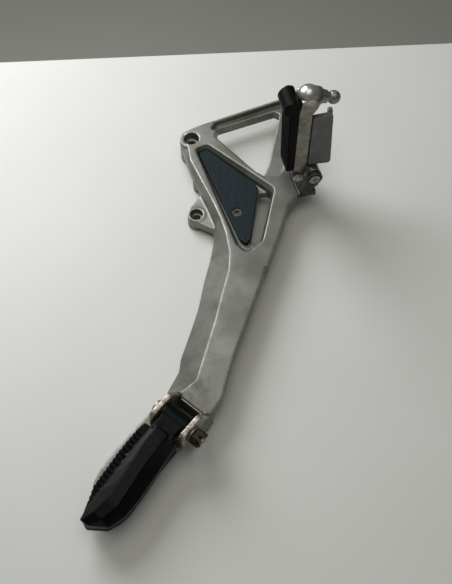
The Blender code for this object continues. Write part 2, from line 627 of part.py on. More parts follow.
def rider_weight():
    half = WEIGHT_THICKNESS / 2
    near = RIDER_BAR_FRONT + 1.5
    low, high = WEIGHT_START, WEIGHT_START + WEIGHT_LENGTH
    root, tip = near + WEIGHT_ROOT_DEPTH, near + WEIGHT_TIP_DEPTH
    side = rounded([(near, low + 3), (near, high), (tip, high), (root, low)], [2.5, 2.5, 2.5, 3.0])
    body = add_object("rider_peg_weight", prism_mesh("rider_peg_weight", side, -half, half, "Y"),
                      rider_frame, GREY_PAINT)
    slope = [(-half + 4, high + 1), (half + 1, high - 21), (half + 1, high + 4), (-half + 4, high + 4)]
    cut(body, prism_mesh("top_slope", slope, near - 4, root + 4, "X"))
    flange = [(root - 3, low + 1.5), (tip - 1.5, high - 3), (tip + 2.5, high - 3), (root + 2.5, low + 1)]
    join(body, prism_mesh("flange", flange, 0.5, half - 3.5, "Y"))
    for number, z in enumerate((low + 16, high - 22), 1):
        join(body, rod_mesh(f"spacer_{number}", "X", RIDER_BAR_FRONT + GAP, 3, 5.5, (0, z), sides=20))
        cut(body, rod_mesh("bolt_hole", "X", -12, 40, 3.3, (0, z), sides=18),
            rod_mesh("bolt_seat", "X", near + 12, 20, 5.6, (0, z), sides=20))
        length = near + 14 - RIDER_BAR_FRONT
        shank = rod_mesh("weight_bolt", "X", RIDER_BAR_FRONT + GAP, length, 3.0, (0, z), sides=16)
        bolt = add_object(f"weight_bolt_{number}", shank, rider_frame, ZINC_STEEL)
        join(bolt, rod_mesh("head", "X", near + 12 + GAP, 4.0, 5.0, (0, z), sides=20))
        cut(bolt, rod_mesh("socket", "X", near + 14.5, 4, 2.4, (0, z), sides=6))


def feeler():
    """The bank sensor: a tilted bolt with a ball end, and its lock collar."""
    start = (0, RIDER_PEG_LENGTH - 1)
    turn = math.radians(FEELER_TILT)

    def along(distance):
        return (DOME_X + distance * math.cos(turn), 0, RIDER_PEG_LENGTH - 1 - distance * math.sin(turn))

    shank = rod_mesh("feeler_bolt", "X", DOME_X, FEELER_LENGTH + 2, 4.0, start, None, 20, FEELER_TILT)
    bolt = add_object("feeler_bolt", shank, rider_frame, ZINC_STEEL)
    trim = box_mesh("trim", (-40, -20, -40), (4, 20, 40))
    trim.transform(Matrix.Translation(Vector((DOME_X, 0, RIDER_PEG_LENGTH - 1)) * MM)
                   @ Matrix.Rotation(turn, 4, "Y"))
    cut(bolt, trim)
    join(bolt, ball_mesh("ball_end", along(FEELER_LENGTH), FEELER_BALL, sides=20))
    x, _, z = along(FEELER_LENGTH + FEELER_BALL - 3.5)
    cut(bolt, rod_mesh("socket", "X", x, 8, 2.4, (0, z), None, 6, FEELER_TILT))
    x, _, z = along(FEELER_BOSS + GAP)
    sleeve = rod_mesh("feeler_lock_nut", "X", x, FEELER_COLLAR, 6.4, (0, z), 5.6, 24, FEELER_TILT)
    collar = add_object("feeler_lock_nut", sleeve, rider_frame, ZINC_STEEL)
    cut(collar, rod_mesh("bore", "X", DOME_X, 40, 4.3, start, None, 20, FEELER_TILT))


def rider_spring():
    room = RIDER_CLEVIS_GAP / 2 - RIDER_EYE_END
    start = RIDER_EYE_END + SPRING_WIRE / 2 + 0.5
    pitch = (room - SPRING_WIRE - 1.0) / 3.3
    mesh = coil_mesh("rider_return_spring", SPRING_RADIUS, SPRING_WIRE, 3.25, start, pitch, legs=(9.0, 4.5))
    add_object("rider_return_spring", mesh, rider_frame, RUSTY_STEEL)


# ---------------------------------------------------------------- passenger peg
pillion_frame = empty("pillion_pin_frame", PILLION_PIN, PILLION_HEADING)


def pillion_bar():
    half = PILLION_CLEVIS_GAP / 2 - RUNNING_GAP - 0.5
    low = PILLION_RUBBER_TOP + GAP
    start, end = -PILLION_BODY_START, -PILLION_PEG_LENGTH
    stations = [
        # y, left x, right x, crest x, crest half width, crest height
        (start, -13.0, 13.0, 0, 6, 9.5),
        (start - 14, -12.8, 15.2, 1, 6, 10.0),
        (start - 32, -11.3, 17.6, 3, 5, 9.5),
        (start - 50, -9.5, 19.8, 6, 5, 8.5),
        (start - 66, -8.5, 20.4, 8, 5, 7.5),
        (start - 80, -7.0, 16.2, 5.5, 4, 5.0),
        (end, -5.0, 3.0, -1, 2, -1.0),
    ]
    rings = [
        [(left, y, low), (left, y, low + 4), (crest - flat, y, height), (crest + flat, y, height),
         (right, y, low + 5), (right, y, low)]
        for y, left, right, crest, flat, height in stations
    ]
    body = add_object("pillion_peg_bar", loft_mesh("pillion_peg_bar", rings), pillion_frame, BLACK_PAINT)
    join(body,
         rod_mesh("knuckle", "X", -half, 2 * half, PILLION_KNUCKLE_RADIUS, sides=32),
         box_mesh("neck", (-half + 2, start - 3, -6), (half - 2, 0, 8)),
         prism_mesh("collar", arc((0, low + 0.9), 12.9, 0, 180, 20), start - 2, start + 1.2, "Y"))
    cut(body, rod_mesh("pin_hole", "X", -30, 60, PILLION_PIN_DIAMETER / 2 + GAP, sides=24))
    for y in (start - 18, start - 58):
        cut(body, rod_mesh("screw_hole", "Z", low - 4, 9, 2.3, (2, y), sides=16))


def pillion_rubber():
    low, high = PILLION_RUBBER_BOTTOM, PILLION_RUBBER_TOP
    start, end = -PILLION_EAR_REACH - 1 - 2 * GAP, -PILLION_PEG_LENGTH - 1
    outline = rounded([(-20.5, start), (12.5, start), (13.2, -35), (16, -54), (18, -76), (16.8, -84),
                       (13, -95), (-1, end), (-6.5, end + 4), (-16.5, -78), (-20.5, -46), (-21.5, -24)],
                      [3, 3, 8, 8, 6, 4, 4, 3, 2, 6, 10, 4])
    outline = [(x, min(y, start)) for x, y in outline]
    body = add_object("pillion_peg_rubber", prism_mesh("pillion_peg_rubber", outline, low, high),
                      pillion_frame, BLACK_RUBBER)
    neck = box_mesh("neck_room", (-14, start - 3.5, high - 6), (14.5, start + 5, high + 2))
    grooves = []
    for i in range(7):
        near_edge = start - 12 - i * 10
        grooves.append(box_mesh(f"rib_{i}", (-40, near_edge - 2, low - 1), (40, near_edge, low + 2.5)))
    cut(body, neck, *grooves)
    for number, y in enumerate((-PILLION_BODY_START - 18, -PILLION_BODY_START - 58), 1):
        cut(body, rod_mesh("screw_clearance", "Z", low - 2, 40, 2.3, (2, y), sides=16),
            rod_mesh("screw_seat", "Z", low - 2, 7, 4.5, (2, y), sides=20))
        shank = rod_mesh("screw", "Z", low + 3, high - low, 2.0, (2, y), sides=16)
        screw = add_object(f"pillion_rubber_screw_{number}", shank, pillion_frame, ZINC_STEEL)
        join(screw, rod_mesh("head", "Z", low + 1.5, 3.2, 4.1, (2, y), sides=20))


def pillion_pivot():
    half = PILLION_OUTER
    radius = PILLION_PIN_DIAMETER / 2
    shank = rod_mesh("pillion_pivot_bolt", "X", -half - 1, 2 * half + 12, radius, sides=24)
    bolt = add_object("pillion_pivot_bolt", shank, pillion_frame, ZINC_STEEL)
    join(bolt, rod_mesh("head", "X", -half - GAP - 2.4, 2.4, 5.6, tip_radius=6.2, sides=28))
    cut(bolt, rod_mesh("pin_hole", "Z", -10, 20, 1.1, (half + 8.5, 0), sides=12))
    washer = add_object("pillion_pivot_washer", rod_mesh("pillion_pivot_washer", "X", half + GAP, 1.4, 7.6,
                        sides=28), pillion_frame, ZINC_STEEL)
    cut(washer, rod_mesh("bore", "X", half - 2, 8, radius + GAP, sides=24))
    nut_start = half + 2 * GAP + 1.4
    hexagon = rod_mesh("pillion_castle_nut", "X", nut_start, 8.2, 7.2, sides=6)
    nut = add_object("pillion_castle_nut", hexagon, pillion_frame, RUSTY_STEEL)
    cut(nut, rod_mesh("bore", "X", half - 2, 20, radius + GAP, sides=24))
    for turn in range(3):
        slot = box_mesh("slot", (nut_start + 5.0, -1.3, -10), (nut_start + 12, 1.3, 10))
        slot.transform(Matrix.Rotation(math.radians(60 * turn), 4, "X"))
        cut(nut, slot)
    shank = rod_mesh("pillion_split_pin", "Z", -9.5, 19, 0.8, (half + 8.5, 0), sides=10)
    clip = add_object("pillion_split_pin", shank, pillion_frame, RUSTY_STEEL)
    join(clip, ball_mesh("clip_eye", (half + 8.5, 0, 9.5), 1.7, sides=12))


def detent_plate():
    """A leaf that presses on the knuckle's flats, held against the clevis back wall."""
    half = PILLION_CLEVIS_GAP / 2 - 1.5
    floor = PILLION_PLATE_TOP + GAP
    far = PILLION_WALL_AT - GAP
    side = [(far, floor), (far, -6.0), (far - 1.2, -6.0), (far - 1.2, floor + 1.2), (-8.5, floor + 1.2),
            (-8.5, floor)]
    add_object("pillion_detent_plate", prism_mesh("pillion_detent_plate", side, -half, half, "X"),
               pillion_frame, DARK_STEEL)


casting()
heel_pad()
rider_clevis()
rider_pin()
rider_bar()
rider_rubber()
rider_weight()
feeler()
rider_spring()
pillion_bar()
pillion_rubber()
pillion_pivot()
detent_plate()

for item in parts.objects:
    if item.type == "MESH":
        item.data.shade_smooth()
        item.data.set_sharp_from_angle(angle=math.radians(35))
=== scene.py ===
import json
import math

import bmesh
import bpy
import numpy as np
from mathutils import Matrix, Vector


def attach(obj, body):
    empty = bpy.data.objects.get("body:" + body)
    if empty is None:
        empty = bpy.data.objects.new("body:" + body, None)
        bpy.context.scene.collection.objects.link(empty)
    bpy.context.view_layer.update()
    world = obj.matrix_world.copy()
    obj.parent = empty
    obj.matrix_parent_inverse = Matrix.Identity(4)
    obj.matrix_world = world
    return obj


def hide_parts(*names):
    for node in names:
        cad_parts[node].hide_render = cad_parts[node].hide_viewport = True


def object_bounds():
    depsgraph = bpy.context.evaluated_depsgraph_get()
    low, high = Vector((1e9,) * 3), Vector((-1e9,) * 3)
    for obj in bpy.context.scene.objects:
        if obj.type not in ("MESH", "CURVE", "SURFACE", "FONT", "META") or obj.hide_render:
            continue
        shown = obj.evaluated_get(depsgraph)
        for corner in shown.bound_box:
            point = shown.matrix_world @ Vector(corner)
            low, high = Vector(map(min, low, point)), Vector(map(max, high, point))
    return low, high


# Right-hand footrest bracket: die-cast arm, rider's folding peg standing up, passenger's peg folded flat.
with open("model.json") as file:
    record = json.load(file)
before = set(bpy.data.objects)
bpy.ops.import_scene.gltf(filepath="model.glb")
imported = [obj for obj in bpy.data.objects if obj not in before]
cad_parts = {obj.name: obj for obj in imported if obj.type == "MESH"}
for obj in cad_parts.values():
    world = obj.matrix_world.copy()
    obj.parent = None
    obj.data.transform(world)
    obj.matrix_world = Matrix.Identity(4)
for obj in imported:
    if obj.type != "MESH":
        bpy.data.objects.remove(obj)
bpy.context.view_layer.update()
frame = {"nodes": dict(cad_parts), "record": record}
mm = 0.001
print("frame loaded")


# Small tools

# sRGB hex to linear: below 0.04045 divide by 12.92, above it raise ((c + 0.055) / 1.055) to 2.4
def linearColour(hexValue):
    channels = np.array([int(hexValue[i:i + 2], 16) for i in (1, 3, 5)]) / 255
    linear = np.where(channels <= 0.04045, channels / 12.92, ((channels + 0.055) / 1.055) ** 2.4)
    return (*linear.tolist(), 1.0)


# Adds one node: sets its properties and its colour stops, fills each input with a value, a colour or a
# link, and gives back the output asked for
def addNode(tree, kind, inputs=None, output=0, stops=(), **settings):
    node = tree.nodes.new(kind)
    for key, value in settings.items():
        setattr(node, key, value)
    for place, level in stops[2:]:
        node.color_ramp.elements.new(place)
    if stops:
        for element, (place, level) in zip(node.color_ramp.elements, sorted(stops)):
            element.position = place
            element.color = linearColour(level) if isinstance(level, str) else (level, level, level, 1)
    for key, value in (inputs or {}).items():
        fillSocket(tree, node.inputs[key], value)
    return node.outputs[output]


def fillSocket(tree, socket, value):
    if isinstance(value, bpy.types.NodeSocket):
        tree.links.new(value, socket)
    else:
        socket.default_value = linearColour(value) if isinstance(value, str) else value


# Noise in object space whose features are about "size" millimetres across
def grain(tree, place, size, detail=2.0, roughness=0.5, stretch=(1, 1, 1)):
    moved = addNode(tree, "ShaderNodeMapping", {"Vector": place, "Scale": stretch})
    return addNode(tree, "ShaderNodeTexNoise", {"Vector": moved, "Scale": 1 / (size * mm), "Detail": detail,
                                                "Roughness": roughness})


# Millimetres from a point, as 1 at the point falling to 0 at "reach"
def nearness(tree, place, point, reach):
    away = addNode(
        tree, "ShaderNodeVectorMath", {0: place, 1: [v * mm for v in point]}, output="Value",
        operation="DISTANCE",
    )
    return addNode(
        tree, "ShaderNodeMapRange",
        {"Value": away, "From Min": 0.0, "From Max": reach * mm, "To Min": 1.0, "To Max": 0.0},
        interpolation_type="SMOOTHSTEP",
    )


def startMaterial(name):
    made = bpy.data.materials.new(name)
    made.use_nodes = True
    tree = made.node_tree
    place = addNode(tree, "ShaderNodeTexCoord", output="Object")
    return made, tree, tree.nodes["Principled BSDF"], place


def setShader(tree, shader, **values):
    for key, value in values.items():
        fillSocket(tree, shader.inputs[key.replace("_", " ")], value)


# Materials

# the grime colour also paints shade into the hollows of the casting
alloySettings = {
    "deck": "#90918a", "shade": "#74756d", "bright": "#d3d3cc", "grimeAndHollowShade": "#2e2a25",
    "blastGrain": 0.7, "blastDepth": 0.035, "roughness": 0.46, "metal": 0.82,
}


# Die-cast aluminium, shot-blasted and silver lacquered: satin, faintly pebbled, brighter where the
# lacquer is rubbed off the edges and with a painted highlight along them, darker in the hollows with
# painted shade and grime, beige and rough on the bare clevis ears, grimy near both clevises
def lacqueredCastAlloy():
    s = alloySettings
    made, tree, shader, place = startMaterial("lacqueredCastAlloy")
    cloud = grain(tree, place, 34, 4, 0.6)
    base = addNode(
        tree, "ShaderNodeMix",
        {
            0: addNode(tree, "ShaderNodeValToRGB", {"Fac": cloud}, stops=[(0.36, 0.0), (0.66, 1.0)]),
            6: s["shade"], 7: s["deck"],
        },
        output=2, data_type="RGBA",
    )
    mottle = grain(tree, place, 6, 5, 0.65)
    base = addNode(
        tree, "ShaderNodeMix",
        {
            0: addNode(tree, "ShaderNodeValToRGB", {"Fac": mottle}, stops=[(0.55, 0.0), (0.8, 0.35)]),
            6: base, 7: "#6d6c64",
        },
        output=2, data_type="RGBA",
    )
    edge = addNode(tree, "ShaderNodeNewGeometry", output="Pointiness")
    # lighter on sharp edges: lacquer rubbed off, and a painted highlight along the ridges
    rubbedAndHighlighted = addNode(
        tree, "ShaderNodeMath",
        {
            0: addNode(tree, "ShaderNodeValToRGB", {"Fac": edge}, stops=[(0.515, 0.0), (0.56, 1.0)]),
            1: addNode(
                tree, "ShaderNodeValToRGB", {"Fac": grain(tree, place, 9, 3, 0.7)},
                stops=[(0.35, 0.25), (0.6, 1.0)],
            ),
        },
        operation="MULTIPLY",
    )
    base = addNode(
        tree, "ShaderNodeMix", {0: rubbedAndHighlighted, 6: base, 7: s["bright"]}, output=2, data_type="RGBA",
    )
    # darker in the hollows: painted shade, with grime
    hollowShadeAndGrime = addNode(tree, "ShaderNodeValToRGB", {"Fac": edge}, stops=[(0.4, 1.0), (0.485, 0.0)])
    base = addNode(
        tree, "ShaderNodeMix",
        {
            0: addNode(tree, "ShaderNodeMath", {0: hollowShadeAndGrime, 1: 0.3}, operation="MULTIPLY"), 6: base,
            7: s["grimeAndHollowShade"],
        },
        output=2, data_type="RGBA",
    )
    # scratches: long thin threads of stretched noise, only where a second coarse noise is high
    thread = addNode(
        tree, "ShaderNodeValToRGB", {"Fac": grain(tree, place, 7, 1, 0.4, (6.0, 0.35, 1.0))},
        stops=[(0.655, 0.0), (0.675, 1.0)],
    )
    patch = addNode(
        tree, "ShaderNodeValToRGB", {"Fac": grain(tree, place, 26, 1, 0.5)},
        stops=[(0.5, 0.0), (0.62, 1.0)],
    )
    scratch = addNode(tree, "ShaderNodeMath", {0: thread, 1: patch}, operation="MULTIPLY")
    base = addNode(
        tree, "ShaderNodeMix",
        {
            0: addNode(tree, "ShaderNodeMath", {0: scratch, 1: 0.35}, operation="MULTIPLY"), 6: base,
            7: "#45433c",
        },
        output=2, data_type="RGBA",
    )
    # specks of dirt about a millimetre across
    cell = addNode(
        tree, "ShaderNodeTexVoronoi", {"Vector": place, "Scale": 1 / (11 * mm)}, output="Distance",
    )
    speck = addNode(tree, "ShaderNodeValToRGB", {"Fac": cell}, stops=[(0.045, 1.0), (0.075, 0.0)])
    base = addNode(
        tree, "ShaderNodeMix",
        {
            0: addNode(tree, "ShaderNodeMath", {0: speck, 1: 0.6}, operation="MULTIPLY"), 6: base,
            7: "#3b3831",
        },
        output=2, data_type="RGBA",
    )
    # bare worn ears stand above the deck at the passenger end
    height = addNode(tree, "ShaderNodeSeparateXYZ", {0: place}, output="Z")
    above = addNode(
        tree, "ShaderNodeMapRange", {"Value": height, "From Min": 29.5 * mm, "From Max": 33 * mm},
        interpolation_type="SMOOTHSTEP",
    )
    chipped = addNode(
        tree, "ShaderNodeMix",
        {
            0: addNode(
                tree, "ShaderNodeValToRGB", {"Fac": grain(tree, place, 3, 6, 0.7)},
                stops=[(0.42, 0.0), (0.62, 1.0)],
            ),
            6: "#7d746a", 7: "#cfc6ba",
        },
        output=2, data_type="RGBA",
    )
    base = addNode(tree, "ShaderNodeMix", {0: above, 6: base, 7: chipped}, output=2, data_type="RGBA")
    dirt = addNode(
        tree, "ShaderNodeMath",
        {0: nearness(tree, place, (4, -226, 24), 26), 1: nearness(tree, place, (94, -12, 24), 20)},
        operation="MAXIMUM",
    )
    dirt = addNode(
        tree, "ShaderNodeMath",
        {
            0: dirt,
            1: addNode(
                tree, "ShaderNodeValToRGB", {"Fac": grain(tree, place, 8, 5, 0.7)},
                stops=[(0.34, 0.2), (0.62, 0.9)],
            ),
        },
        operation="MULTIPLY",
    )
    base = addNode(
        tree, "ShaderNodeMix",
        {
            0: addNode(tree, "ShaderNodeMath", {0: dirt, 1: 0.75}, operation="MULTIPLY"), 6: base,
            7: s["grimeAndHollowShade"],
        },
        output=2, data_type="RGBA",
    )
    rough = addNode(
        tree, "ShaderNodeMath",
        {
            0: addNode(tree, "ShaderNodeMath", {0: mottle, 1: 0.22}, operation="MULTIPLY"),
            1: s["roughness"] - 0.1,
        },
        operation="ADD",
    )
    rough = addNode(
        tree, "ShaderNodeMath",
        {0: rough, 1: addNode(tree, "ShaderNodeMath", {0: rubbedAndHighlighted, 1: 0.14}, operation="MULTIPLY")},
        operation="SUBTRACT",
    )
    setShader(tree, shader, Base_Color=base, Metallic=s["metal"], Roughness=rough)
    pebble = grain(tree, place, s["blastGrain"], 3, 0.6)
    pitted = addNode(
        tree, "ShaderNodeMath",
        {
            0: grain(tree, place, 1.6, 4, 0.7),
            1: addNode(tree, "ShaderNodeMath", {0: above, 1: 5.0}, operation="MULTIPLY"),
        },
        operation="MULTIPLY",
    )
    lines = addNode(tree, "ShaderNodeMath", {0: scratch, 1: -1.2}, operation="MULTIPLY")
    setShader(
        tree, shader,
        Normal=addNode(
            tree, "ShaderNodeBump",
            {
                "Height": addNode(
                    tree, "ShaderNodeMath",
                    {
                        0: addNode(tree, "ShaderNodeMath", {0: pebble, 1: pitted}, operation="ADD"),
                        1: lines,
                    },
                    operation="ADD",
                ),
                "Distance": s["blastDepth"] * mm, "Strength": 1.0,
            },
        ),
    )
    return made


# Bare die-cast aluminium, machined and handled: bright, slightly warm, fine scratches and dull stains,
# a painted highlight on the peg's dome and painted shade in the hollows
def bareCastAlloy():
    made, tree, shader, place = startMaterial("bareCastAlloy")
    cloud = grain(tree, place, 9, 5, 0.65)
    base = addNode(
        tree, "ShaderNodeMix",
        {
            0: addNode(tree, "ShaderNodeValToRGB", {"Fac": cloud}, stops=[(0.38, 0.0), (0.64, 1.0)]),
            6: "#716d63", 7: "#9c988d",
        },
        output=2, data_type="RGBA",
    )
    # painted highlight on the rounded top of the rider's peg
    paintedDomeHighlight = nearness(tree, place, (98.7, -9.3, 141.0), 16)
    base = addNode(
        tree, "ShaderNodeMix",
        {
            0: addNode(tree, "ShaderNodeValToRGB", {"Fac": paintedDomeHighlight}, stops=[(0.2, 0.0), (0.5, 0.9)]),
            6: base, 7: "#e2e0d8",
        },
        output=2, data_type="RGBA",
    )
    edge = addNode(tree, "ShaderNodeNewGeometry", output="Pointiness")
    base = addNode(
        tree, "ShaderNodeMix",
        {
            0: addNode(tree, "ShaderNodeValToRGB", {"Fac": edge}, stops=[(0.52, 0.0), (0.58, 1.0)]),
            6: base, 7: "#dcdad2",
        },
        output=2, data_type="RGBA",
    )
    # darker in the hollows: painted shade
    base = addNode(
        tree, "ShaderNodeMix",
        {
            0: addNode(tree, "ShaderNodeValToRGB", {"Fac": edge}, stops=[(0.42, 0.7), (0.49, 0.0)]),
            6: base, 7: "#34302a",
        },
        output=2, data_type="RGBA",
    )
    stain = addNode(
        tree, "ShaderNodeValToRGB", {"Fac": grain(tree, place, 3.5, 6, 0.75)},
        stops=[(0.56, 0.0), (0.72, 0.7)],
    )
    base = addNode(tree, "ShaderNodeMix", {0: stain, 6: base, 7: "#5b5448"}, output=2, data_type="RGBA")
    rough = addNode(
        tree, "ShaderNodeMath",
        {0: addNode(tree, "ShaderNodeMath", {0: cloud, 1: 0.3}, operation="MULTIPLY"), 1: 0.2},
        operation="ADD",
    )
    setShader(tree, shader, Base_Color=base, Metallic=0.92, Roughness=rough)
    lines = grain(tree, place, 1.0, 3, 0.6, (1.0, 1.0, 0.12))
    setShader(
        tree, shader,
        Normal=addNode(
            tree, "ShaderNodeBump",
            {
                "Height": addNode(
                    tree, "ShaderNodeMath", {0: lines, 1: grain(tree, place, 0.6, 3, 0.6)},
                    operation="ADD",
                ),
                "Distance": 0.03 * mm, "Strength": 1.0,
            },
        ),
    )
    return made


# Phosphated steel plate, long in the weather: dark grey, brown film, paler rubbed edges
def weatheredSteel():
    made, tree, shader, place = startMaterial("weatheredSteel")
    cloud = grain(tree, place, 5, 6, 0.7)
    base = addNode(
        tree, "ShaderNodeMix",
        {
            0: addNode(tree, "ShaderNodeValToRGB", {"Fac": cloud}, stops=[(0.38, 0.0), (0.62, 1.0)]),
            6: "#2b2a27", 7: "#5f5d57",
        },
        output=2, data_type="RGBA",
    )
    edge = addNode(tree, "ShaderNodeNewGeometry", output="Pointiness")
    base = addNode(
        tree, "ShaderNodeMix",
        {
            0: addNode(tree, "ShaderNodeValToRGB", {"Fac": edge}, stops=[(0.52, 0.0), (0.58, 0.9)]),
            6: base, 7: "#a3a097",
        },
        output=2, data_type="RGBA",
    )
    rust = addNode(
        tree, "ShaderNodeValToRGB", {"Fac": grain(tree, place, 2.6, 6, 0.75)},
        stops=[(0.56, 0.0), (0.7, 0.8)],
    )
    base = addNode(tree, "ShaderNodeMix", {0: rust, 6: base, 7: "#4a2f1e"}, output=2, data_type="RGBA")
    setShader(
        tree, shader, Base_Color=base, Metallic=0.7,
        Roughness=addNode(
            tree, "ShaderNodeMath",
            {0: addNode(tree, "ShaderNodeMath", {0: cloud, 1: 0.35}, operation="MULTIPLY"), 1: 0.3},
            operation="ADD",
        ),
    )
    setShader(
        tree, shader,
        Normal=addNode(
            tree, "ShaderNodeBump",
            {"Height": grain(tree, place, 0.9, 5, 0.7), "Distance": 0.06 * mm, "Strength": 1.0},
        ),
    )
    return made


# Zinc-plated steel fasteners: pale grey with dull white bloom and brown specks
def zincPlatedSteel():
    made, tree, shader, place = startMaterial("zincPlatedSteel")
    cloud = grain(tree, place, 2.4, 5, 0.7)
    base = addNode(
        tree, "ShaderNodeMix",
        {
            0: addNode(tree, "ShaderNodeValToRGB", {"Fac": cloud}, stops=[(0.36, 0.0), (0.64, 1.0)]),
            6: "#7a766c", 7: "#b5b2a8",
        },
        output=2, data_type="RGBA",
    )
    rust = addNode(
        tree, "ShaderNodeValToRGB", {"Fac": grain(tree, place, 1.4, 6, 0.75)},
        stops=[(0.54, 0.0), (0.66, 0.85)],
    )
    base = addNode(tree, "ShaderNodeMix", {0: rust, 6: base, 7: "#3d3128"}, output=2, data_type="RGBA")
    setShader(
        tree, shader, Base_Color=base, Metallic=0.85,
        Roughness=addNode(
            tree, "ShaderNodeMath",
            {0: addNode(tree, "ShaderNodeMath", {0: cloud, 1: 0.4}, operation="MULTIPLY"), 1: 0.22},
            operation="ADD",
        ),
    )
    setShader(
        tree, shader,
        Normal=addNode(
            tree, "ShaderNodeBump",
            {"Height": grain(tree, place, 0.7, 5, 0.7), "Distance": 0.05 * mm, "Strength": 1.0},
        ),
    )
    return made


# Rusted steel nut, pins and spring: matt brown scale over dark metal
def rustedSteel():
    made, tree, shader, place = startMaterial("rustedSteel")
    cloud = grain(tree, place, 1.8, 6, 0.75)
    base = addNode(
        tree, "ShaderNodeValToRGB", {"Fac": cloud},
        stops=[(0.3, "#14100d"), (0.52, "#2e2119"), (0.74, "#5c4433")],
    )
    edge = addNode(tree, "ShaderNodeNewGeometry", output="Pointiness")
    base = addNode(
        tree, "ShaderNodeMix",
        {
            0: addNode(tree, "ShaderNodeValToRGB", {"Fac": edge}, stops=[(0.53, 0.0), (0.6, 0.6)]),
            6: base, 7: "#8d7a66",
        },
        output=2, data_type="RGBA",
    )
    setShader(
        tree, shader, Base_Color=base, Metallic=0.35,
        Roughness=addNode(
            tree, "ShaderNodeMath",
            {0: addNode(tree, "ShaderNodeMath", {0: cloud, 1: 0.3}, operation="MULTIPLY"), 1: 0.5},
            operation="ADD",
        ),
    )
    setShader(
        tree, shader,
        Normal=addNode(
            tree, "ShaderNodeBump",
            {"Height": grain(tree, place, 0.7, 6, 0.75), "Distance": 0.12 * mm, "Strength": 1.0},
        ),
    )
    return made


# Black enamelled alloy of the passenger peg: satin, blue-black, dusty mottling near the hinge
def blackEnamel():
    made, tree, shader, place = startMaterial("blackEnamel")
    cloud = grain(tree, place, 14, 5, 0.65)
    base = addNode(
        tree, "ShaderNodeMix",
        {
            0: addNode(tree, "ShaderNodeValToRGB", {"Fac": cloud}, stops=[(0.4, 0.0), (0.7, 1.0)]),
            6: "#020405", 7: "#06090b",
        },
        output=2, data_type="RGBA",
    )
    dust = addNode(
        tree, "ShaderNodeMath",
        {
            0: nearness(tree, place, (-22, -278, 40), 48),
            1: addNode(
                tree, "ShaderNodeValToRGB", {"Fac": grain(tree, place, 5, 6, 0.75)},
                stops=[(0.47, 0.0), (0.72, 0.55)],
            ),
        },
        operation="MULTIPLY",
    )
    base = addNode(tree, "ShaderNodeMix", {0: dust, 6: base, 7: "#22272a"}, output=2, data_type="RGBA")
    edge = addNode(tree, "ShaderNodeNewGeometry", output="Pointiness")
    chip = addNode(
        tree, "ShaderNodeMath",
        {
            0: addNode(tree, "ShaderNodeValToRGB", {"Fac": edge}, stops=[(0.53, 0.0), (0.6, 1.0)]),
            1: addNode(
                tree, "ShaderNodeValToRGB", {"Fac": grain(tree, place, 4, 5, 0.7)},
                stops=[(0.5, 0.0), (0.6, 0.6)],
            ),
        },
        operation="MULTIPLY",
    )
    base = addNode(tree, "ShaderNodeMix", {0: chip, 6: base, 7: "#8d8e86"}, output=2, data_type="RGBA")
    setShader(
        tree, shader, Base_Color=base, Metallic=0.0, IOR=1.5, Specular_IOR_Level=0.12,
        Roughness=addNode(
            tree, "ShaderNodeMath",
            {0: addNode(tree, "ShaderNodeMath", {0: cloud, 1: 0.3}, operation="MULTIPLY"), 1: 0.2},
            operation="ADD",
        ),
    )
    setShader(
        tree, shader,
        Normal=addNode(
            tree, "ShaderNodeBump",
            {
                "Height": addNode(
                    tree, "ShaderNodeMath",
                    {0: grain(tree, place, 0.9, 3, 0.6), 1: grain(tree, place, 5, 2, 0.5)},
                    operation="ADD",
                ),
                "Distance": 0.03 * mm, "Strength": 1.0,
            },
        ),
    )
    return made


# Matt grey painted steel weight: even, fine orange peel, a painted highlight on its edges, small dark chips
# at its edges
def greyPaint():
    made, tree, shader, place = startMaterial("greyPaint")
    cloud = grain(tree, place, 12, 4, 0.6)
    base = addNode(
        tree, "ShaderNodeMix",
        {
            0: addNode(tree, "ShaderNodeValToRGB", {"Fac": cloud}, stops=[(0.38, 0.0), (0.66, 1.0)]),
            6: "#626361", 7: "#757674",
        },
        output=2, data_type="RGBA",
    )
    edge = addNode(tree, "ShaderNodeNewGeometry", output="Pointiness")
    # lighter on the edges: a painted highlight
    base = addNode(
        tree, "ShaderNodeMix",
        {
            0: addNode(tree, "ShaderNodeValToRGB", {"Fac": edge}, stops=[(0.52, 0.0), (0.58, 0.8)]),
            6: base, 7: "#a9aaa5",
        },
        output=2, data_type="RGBA",
    )
    chip = addNode(
        tree, "ShaderNodeValToRGB", {"Fac": grain(tree, place, 3, 6, 0.7)},
        stops=[(0.66, 0.0), (0.72, 0.8)],
    )
    base = addNode(tree, "ShaderNodeMix", {0: chip, 6: base, 7: "#2c2b29"}, output=2, data_type="RGBA")
    setShader(
        tree, shader, Base_Color=base, Metallic=0.25, IOR=1.5,
        Roughness=addNode(
            tree, "ShaderNodeMath",
            {0: addNode(tree, "ShaderNodeMath", {0: cloud, 1: 0.2}, operation="MULTIPLY"), 1: 0.42},
            operation="ADD",
        ),
    )
    setShader(
        tree, shader,
        Normal=addNode(
            tree, "ShaderNodeBump",
            {"Height": grain(tree, place, 0.8, 3, 0.6), "Distance": 0.03 * mm, "Strength": 1.0},
        ),
    )
    return made


